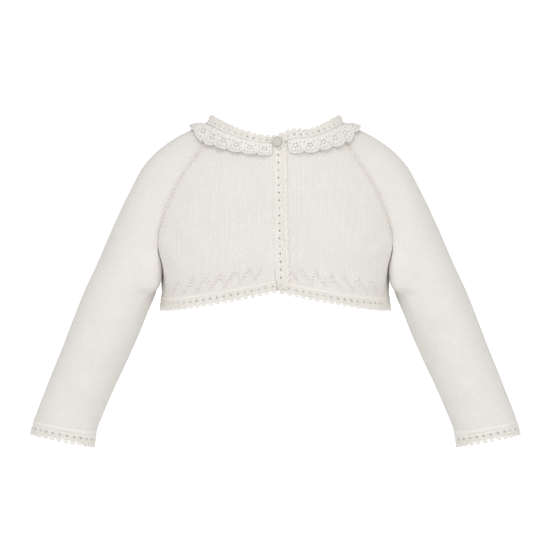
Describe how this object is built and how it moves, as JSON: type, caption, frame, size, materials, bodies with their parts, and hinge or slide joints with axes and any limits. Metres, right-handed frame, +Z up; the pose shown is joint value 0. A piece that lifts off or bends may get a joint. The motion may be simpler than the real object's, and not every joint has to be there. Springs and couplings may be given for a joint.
{
  "type": "cardigan",
  "caption": "Baby's fine-knit bolero cardigan with raglan sleeves, a lace frill collar, crocheted edges and one button at the neck, filled out as when worn.",
  "frame": {"origin": "centre of the neck at the height of the shoulders, which is where the wearer's neck and shoulders hold the garment", "axes": "+X to the wearer's left, across the sleeves; +Y to the wearer's back, so the fronts face -Y; +Z up"},
  "size_m": [0.464, 0.1129, 0.3137],
  "materials": {
    "ivory_knit": "fine stocking-stitch knit, matt, with a soft nap",
    "ivory_crochet": "dense crochet in the same yarn, matt",
    "ivory_lace": "fine cotton lace, matt",
    "grey_shell": "polished, slightly cloudy"
  },
  "bodies": {
    "root": {"right_front": "ivory_knit", "left_front": "ivory_knit", "back": "ivory_knit", "right_sleeve": "ivory_knit", "left_sleeve": "ivory_knit", "neck_band": "ivory_crochet", "hem_band": "ivory_crochet", "right_front_band": "ivory_crochet", "left_front_band": "ivory_crochet", "right_cuff": "ivory_crochet", "left_cuff": "ivory_crochet", "lace_collar": "ivory_lace", "button": "grey_shell", "button_loop": "ivory_crochet"}
  },
  "joints": []
}
